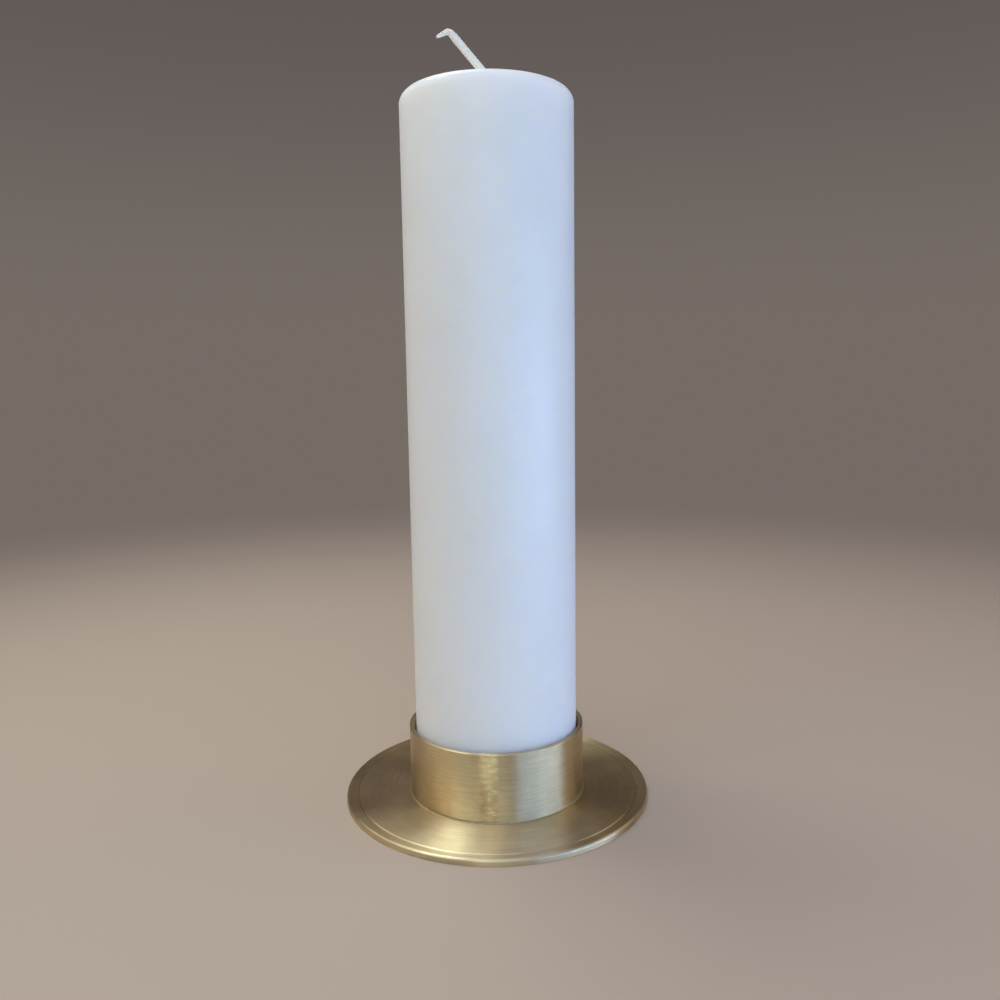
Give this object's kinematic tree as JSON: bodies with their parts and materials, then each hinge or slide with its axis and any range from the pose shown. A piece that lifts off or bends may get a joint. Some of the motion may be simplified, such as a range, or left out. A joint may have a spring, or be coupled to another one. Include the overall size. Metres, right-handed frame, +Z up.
{
  "type": "candle ring",
  "caption": "Round brushed-brass saucer with a short upright collar that holds a tall white pillar candle with a bare, hooked wick; the candle lifts straight out.",
  "frame": {"origin": "middle of the saucer's foot, on the surface it stands on", "axes": "+Z up along the candle; -Y is the front, where the collar's seam shows; the wick leans towards -X"},
  "size_m": [0.113, 0.113, 0.2729],
  "materials": {
    "brushed_brass": "satin",
    "filler_metal": "satin",
    "white_wax": "satin",
    "waxed_cotton": "matte"
  },
  "bodies": {
    "holder": {"base_plate": "brushed_brass", "ring_band": "brushed_brass", "seam_braze": "filler_metal", "foot_solder": "filler_metal"},
    "candle": {"candle_wax": "white_wax", "wick": "waxed_cotton"}
  },
  "joints": [
    {"name": "candle_lift", "type": "slide", "parent": "holder", "child": "candle", "axis": [0, 0, 1], "range_m": [0, 0.05]}
  ]
}
